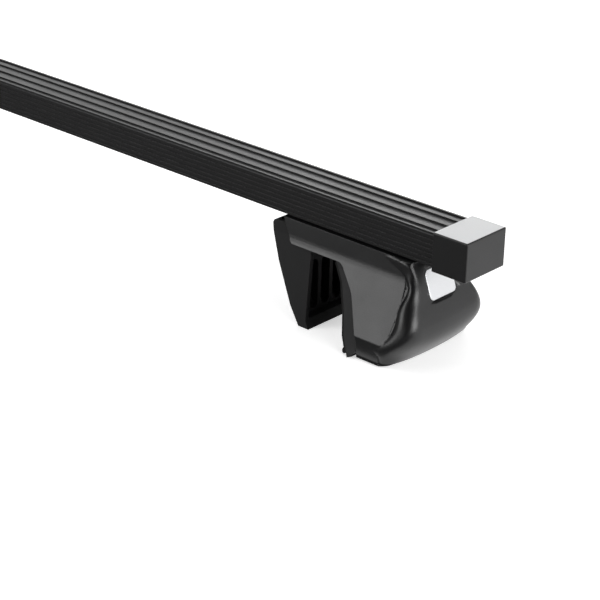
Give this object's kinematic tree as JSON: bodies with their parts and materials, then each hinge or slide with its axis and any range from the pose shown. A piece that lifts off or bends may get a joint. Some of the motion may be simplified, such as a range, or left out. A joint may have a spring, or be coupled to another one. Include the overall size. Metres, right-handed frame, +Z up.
{
  "type": "roof rack crossbar",
  "caption": "Steel roof crossbar in a black ribbed jacket with end caps, on two flared plastic feet that clamp raised roof rails.",
  "frame": {"origin": "midway between the feet, on the plane under the lowest edges of the jaws", "axes": "+X along the bar to the end shown in the picture, +Y across the bar toward the far side of the picture, +Z up"},
  "size_m": [1.2, 0.0866, 0.0867],
  "materials": {
    "tube_steel": "galvanised",
    "jacket_pvc": "satin black",
    "cap_plastic": "fine grain black, pale silver top face",
    "bracket_steel": "black zinc",
    "cover_plastic": "fine grain black",
    "badge_metal": "satin, bare",
    "outer_jaw_plastic": "fine grain black",
    "liner_rubber": "matte",
    "screw_steel": "zinc plated",
    "nut_steel": "zinc plated",
    "washer_steel": "zinc plated",
    "inner_jaw_plastic": "fine grain black"
  },
  "bodies": {
    "bar": {"bar_tube": "tube_steel", "bar_jacket": "jacket_pvc", "end_cap_left": "cap_plastic", "end_cap_right": "cap_plastic"},
    "foot_right": {"foot_bracket_right": "bracket_steel", "foot_cover_right": "cover_plastic", "badge_plate_right": "badge_metal", "outer_jaw_right": "outer_jaw_plastic", "outer_jaw_liner_right": "liner_rubber", "jaw_screws_right": "screw_steel", "slot_nuts_right": "nut_steel", "saddle_screws_right": "screw_steel", "clamp_nut_right": "nut_steel"},
    "jaw_right": {"inner_jaw_right": "inner_jaw_plastic", "clamp_washer_right": "washer_steel"},
    "screw_right": {"clamp_screw_right": "screw_steel"},
    "foot_left": {"foot_bracket_left": "bracket_steel", "foot_cover_left": "cover_plastic", "badge_plate_left": "badge_metal", "outer_jaw_left": "outer_jaw_plastic", "outer_jaw_liner_left": "liner_rubber", "jaw_screws_left": "screw_steel", "slot_nuts_left": "nut_steel", "saddle_screws_left": "screw_steel", "clamp_nut_left": "nut_steel"},
    "jaw_left": {"inner_jaw_left": "inner_jaw_plastic", "clamp_washer_left": "washer_steel"},
    "screw_left": {"clamp_screw_left": "screw_steel"}
  },
  "joints": [
    {"name": "foot_slide_right", "type": "slide", "parent": "bar", "child": "foot_right", "axis": [-1, 0, 0], "range_m": [0, 0.3]},
    {"name": "jaw_slide_right", "type": "slide", "parent": "foot_right", "child": "jaw_right", "axis": [1, 0, 0], "range_m": [-0.015, 0.012]},
    {"name": "clamp_spin_right", "type": "hinge", "parent": "jaw_right", "child": "screw_right", "pos_m": [0.455, 0, 0.0536], "axis": [1, 0, 0], "range_deg": [-5400, 4320]},
    {"name": "foot_slide_left", "type": "slide", "parent": "bar", "child": "foot_left", "axis": [1, 0, 0], "range_m": [0, 0.3]},
    {"name": "jaw_slide_left", "type": "slide", "parent": "foot_left", "child": "jaw_left", "axis": [-1, 0, 0], "range_m": [-0.015, 0.012]},
    {"name": "clamp_spin_left", "type": "hinge", "parent": "jaw_left", "child": "screw_left", "pos_m": [-0.455, 0, 0.0536], "axis": [-1, 0, 0], "range_deg": [-5400, 4320]}
  ],
  "couplings": [
    {"joint": "clamp_spin_right", "follows": "jaw_slide_right", "rad_per_m": 6283.2},
    {"joint": "clamp_spin_left", "follows": "jaw_slide_left", "rad_per_m": 6283.2}
  ]
}
